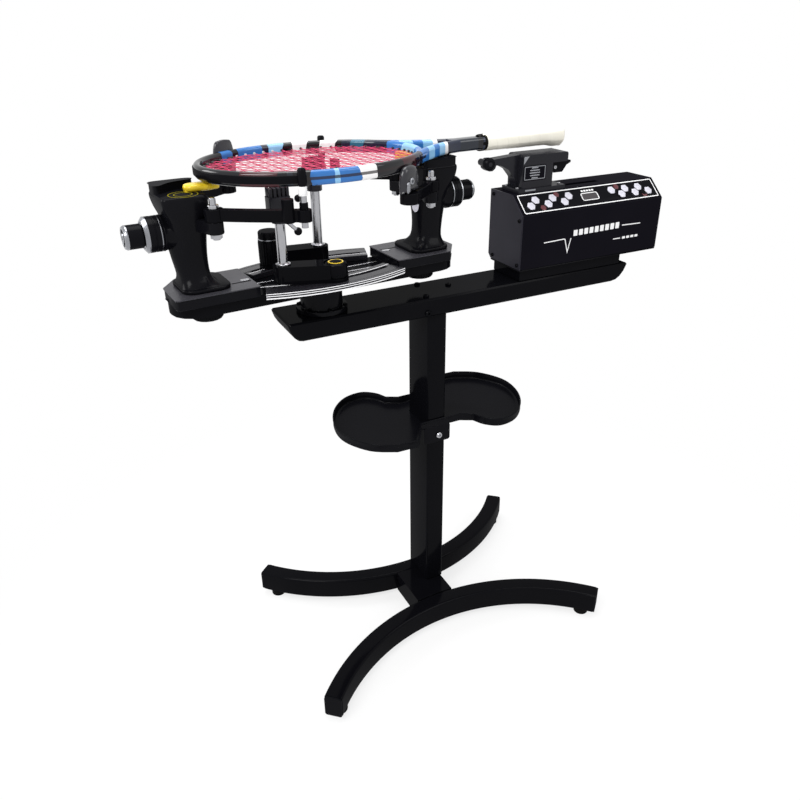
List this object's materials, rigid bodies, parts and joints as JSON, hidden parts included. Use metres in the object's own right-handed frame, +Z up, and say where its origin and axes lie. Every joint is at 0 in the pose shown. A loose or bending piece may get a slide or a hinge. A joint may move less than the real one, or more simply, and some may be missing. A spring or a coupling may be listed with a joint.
{
  "type": "racket stringing machine",
  "caption": "Floor-standing electric racket stringing machine: turntable with a clamped racket, string clamps, tool tray and control unit.",
  "frame": {"origin": "centre of the bounding box on the floor", "axes": "+Z up, +X along the beam from the turntable towards the control unit, +Y from the keypad side to the back"},
  "size_m": [1.0026, 0.4238, 0.9755],
  "materials": {
    "gloss_black_paint": "gloss",
    "black_casting": "satin",
    "grey_plate": "brushed, satin",
    "dark_metal": "satin",
    "black_plastic": "fine grain",
    "bright_steel": "polished",
    "yellow_plastic": "satin",
    "black_rubber": "matte",
    "racket_paint": "gloss, blue and black bands",
    "red_string": "satin",
    "white_wrap": "matte overwrap",
    "board_green": "satin",
    "dark_window": "gloss"
  },
  "bodies": {
    "base": {"front_foot": "gloss_black_paint", "rear_foot": "gloss_black_paint", "cross_tube": "gloss_black_paint", "front_left_rubber_foot": "black_rubber", "rear_left_rubber_foot": "black_rubber", "front_right_rubber_foot": "black_rubber", "rear_right_rubber_foot": "black_rubber", "column": "gloss_black_paint", "beam": "gloss_black_paint", "tool_tray": "black_plastic", "pivot_housing": "black_casting", "plinth": "gloss_black_paint", "control_case": "gloss_black_paint", "case_end_plate": "grey_plate", "keypad": "black_plastic", "display_window": "dark_window", "drive_motor": "dark_metal", "circuit_board": "board_green", "power_inlet": "black_plastic"},
    "turntable": {"turntable_bar": "gloss_black_paint", "front_rail": "dark_metal", "rear_rail": "dark_metal", "left_carriage": "grey_plate", "right_carriage": "grey_plate", "left_tower": "black_casting", "right_tower": "black_casting"},
    "racket": {"racket_frame": "racket_paint", "string_bed": "red_string", "racket_grip": "white_wrap"},
    "left_arm_knob": {"left_arm_knob": "black_plastic"},
    "left_support_knob": {"left_support_knob": "black_plastic"},
    "left_racket_support": {"left_racket_support": "yellow_plastic"},
    "left_finger_arm": {"left_finger_arm": "gloss_black_paint", "left_finger": "dark_metal"},
    "left_hook_arm": {"left_hook_arm": "gloss_black_paint", "left_hook": "dark_metal"},
    "left_lock_nut": {"left_lock_nut": "black_plastic"},
    "right_arm_knob": {"right_arm_knob": "black_plastic"},
    "right_support_knob": {"right_support_knob": "black_plastic"},
    "right_racket_support": {"right_racket_support": "yellow_plastic"},
    "right_finger_arm": {"right_finger_arm": "gloss_black_paint", "right_finger": "dark_metal"},
    "right_hook_arm": {"right_hook_arm": "gloss_black_paint", "right_hook": "dark_metal"},
    "right_lock_nut": {"right_lock_nut": "black_plastic"},
    "front_clamp_base": {"front_clamp_base": "black_casting"},
    "front_clamp_lock": {"front_clamp_lock": "black_plastic"},
    "front_clamp_post": {"front_clamp_post": "bright_steel"},
    "front_clamp_head": {"front_clamp_head": "dark_metal"},
    "front_clamp_lever": {"front_clamp_lever": "bright_steel"},
    "rear_clamp_base": {"rear_clamp_base": "black_casting"},
    "rear_clamp_lock": {"rear_clamp_lock": "black_plastic"},
    "rear_clamp_post": {"rear_clamp_post": "bright_steel"},
    "rear_clamp_head": {"rear_clamp_head": "dark_metal"},
    "rear_clamp_lever": {"rear_clamp_lever": "bright_steel"},
    "tension_head": {"tension_head": "dark_metal"},
    "drive_screw": {"drive_screw": "bright_steel"},
    "release_lever": {"release_lever": "black_plastic"},
    "string_roller": {"string_roller": "black_plastic"},
    "power_switch": {"power_switch": "black_plastic"}
  },
  "joints": [
    {"name": "turntable_turn", "type": "hinge", "parent": "base", "child": "turntable", "pos_m": [-0.1977, 0.0384, 0.747], "axis": [0, 0, 1], "continuous": true},
    {"name": "racket_lift", "type": "slide", "parent": "turntable", "child": "racket", "axis": [0, 0, 1], "range_m": [0, 0.12]},
    {"name": "left_arm_knob_turn", "type": "hinge", "parent": "turntable", "child": "left_arm_knob", "pos_m": [-0.44739, 0.02094, 0.872], "axis": [0.9976, 0.0698, 0], "range_deg": [0, 118]},
    {"name": "left_finger_arm_swing", "type": "hinge", "parent": "turntable", "child": "left_finger_arm", "pos_m": [-0.37727, -0.0313, 0.893], "axis": [0, 0, 1], "range_deg": [-12, 0]},
    {"name": "left_hook_arm_swing", "type": "hinge", "parent": "turntable", "child": "left_hook_arm", "pos_m": [-0.38522, 0.08243, 0.893], "axis": [0, 0, 1], "range_deg": [0, 12]},
    {"name": "left_support_slide", "type": "slide", "parent": "turntable", "child": "left_racket_support", "axis": [0.9976, 0.0698, 0], "range_m": [0, 0.01]},
    {"name": "left_support_knob_turn", "type": "hinge", "parent": "turntable", "child": "left_support_knob", "pos_m": [-0.47332, 0.01913, 0.872], "axis": [0.9976, 0.0698, 0], "range_deg": [0, 721]},
    {"name": "left_lock_nut_turn", "type": "hinge", "parent": "turntable", "child": "left_lock_nut", "pos_m": [-0.39422, 0.02466, 0.747], "axis": [0, 0, 1], "range_deg": [0, 90]},
    {"name": "right_arm_knob_turn", "type": "hinge", "parent": "turntable", "child": "right_arm_knob", "pos_m": [0.05199, 0.05586, 0.872], "axis": [-0.9976, -0.0698, 0], "range_deg": [0, 118]},
    {"name": "right_finger_arm_swing", "type": "hinge", "parent": "turntable", "child": "right_finger_arm", "pos_m": [-0.01812, 0.1081, 0.893], "axis": [0, 0, 1], "range_deg": [-12, 0]},
    {"name": "right_hook_arm_swing", "type": "hinge", "parent": "turntable", "child": "right_hook_arm", "pos_m": [-0.01017, -0.00563, 0.893], "axis": [0, 0, 1], "range_deg": [0, 12]},
    {"name": "right_support_slide", "type": "slide", "parent": "turntable", "child": "right_racket_support", "axis": [-0.9976, -0.0698, 0], "range_m": [0, 0.01]},
    {"name": "right_support_knob_turn", "type": "hinge", "parent": "turntable", "child": "right_support_knob", "pos_m": [0.07793, 0.05767, 0.872], "axis": [-0.9976, -0.0698, 0], "range_deg": [0, 721]},
    {"name": "right_lock_nut_turn", "type": "hinge", "parent": "turntable", "child": "right_lock_nut", "pos_m": [-0.00118, 0.05214, 0.747], "axis": [0, 0, 1], "range_deg": [0, 90]},
    {"name": "front_clamp_swing", "type": "hinge", "parent": "turntable", "child": "front_clamp_base", "pos_m": [-0.21513, 0.28779, 0.7757], "axis": [0, 0, 1], "range_deg": [-5, 17]},
    {"name": "front_clamp_lock_turn", "type": "hinge", "parent": "front_clamp_base", "child": "front_clamp_lock", "pos_m": [-0.19323, -0.02544, 0.8037], "axis": [0, 0, 1], "range_deg": [0, 120]},
    {"name": "front_clamp_post_turn", "type": "hinge", "parent": "front_clamp_base", "child": "front_clamp_post", "pos_m": [-0.27128, 0.00118, 0.8037], "axis": [0, 0, 1], "range_deg": [-20, 20]},
    {"name": "front_clamp_lift", "type": "slide", "parent": "front_clamp_post", "child": "front_clamp_head", "axis": [0, 0, 1], "range_m": [0, 0.025]},
    {"name": "front_clamp_lever_turn", "type": "hinge", "parent": "front_clamp_head", "child": "front_clamp_lever", "pos_m": [-0.27044, -0.01079, 0.87945], "axis": [-0.0698, 0.9976, 0], "range_deg": [-45, 40]},
    {"name": "rear_clamp_swing", "type": "hinge", "parent": "turntable", "child": "rear_clamp_base", "pos_m": [-0.18026, -0.21099, 0.7757], "axis": [0, 0, 1], "range_deg": [-16.4, 5.6]},
    {"name": "rear_clamp_lock_turn", "type": "hinge", "parent": "rear_clamp_base", "child": "rear_clamp_lock", "pos_m": [-0.26364, 0.09173, 0.8037], "axis": [0, 0, 1], "range_deg": [0, 120]},
    {"name": "rear_clamp_post_turn", "type": "hinge", "parent": "rear_clamp_base", "child": "rear_clamp_post", "pos_m": [-0.18187, 0.08107, 0.8037], "axis": [0, 0, 1], "range_deg": [-20, 20]},
    {"name": "rear_clamp_lift", "type": "slide", "parent": "rear_clamp_post", "child": "rear_clamp_head", "axis": [0, 0, 1], "range_m": [-0.025, 0]},
    {"name": "rear_clamp_lever_turn", "type": "hinge", "parent": "rear_clamp_head", "child": "rear_clamp_lever", "pos_m": [-0.18506, 0.09263, 0.90445], "axis": [0.2656, -0.9641, 0], "range_deg": [-45, 40]},
    {"name": "tension_slide", "type": "slide", "parent": "base", "child": "tension_head", "axis": [1, 0, 0], "range_m": [0, 0.15]},
    {"name": "drive_screw_turn", "type": "hinge", "parent": "base", "child": "drive_screw", "pos_m": [0.1713, 0.0499, 0.796], "axis": [1, 0, 0], "range_deg": [0, 2705]},
    {"name": "release_lever_turn", "type": "hinge", "parent": "tension_head", "child": "release_lever", "pos_m": [0.2729, 0.0499, 0.8987], "axis": [0, 1, 0], "range_deg": [0, 25]},
    {"name": "string_roller_turn", "type": "hinge", "parent": "tension_head", "child": "string_roller", "pos_m": [0.1263, 0.0399, 0.9173], "axis": [0, 1, 0], "continuous": true},
    {"name": "power_switch_rock", "type": "hinge", "parent": "base", "child": "power_switch", "pos_m": [0.4013, 0.0869, 0.772], "axis": [1, 0, 0], "range_deg": [0, 12]}
  ],
  "couplings": [
    {"joint": "left_finger_arm_swing", "follows": "left_arm_knob_turn", "ratio": -0.1},
    {"joint": "left_hook_arm_swing", "follows": "left_arm_knob_turn", "ratio": 0.1},
    {"joint": "left_support_knob_turn", "follows": "left_support_slide", "rad_per_m": 1256.6},
    {"joint": "right_finger_arm_swing", "follows": "right_arm_knob_turn", "ratio": -0.1},
    {"joint": "right_hook_arm_swing", "follows": "right_arm_knob_turn", "ratio": 0.1},
    {"joint": "right_support_knob_turn", "follows": "right_support_slide", "rad_per_m": 1256.6},
    {"joint": "drive_screw_turn", "follows": "tension_slide", "rad_per_m": 314.16}
  ]
}
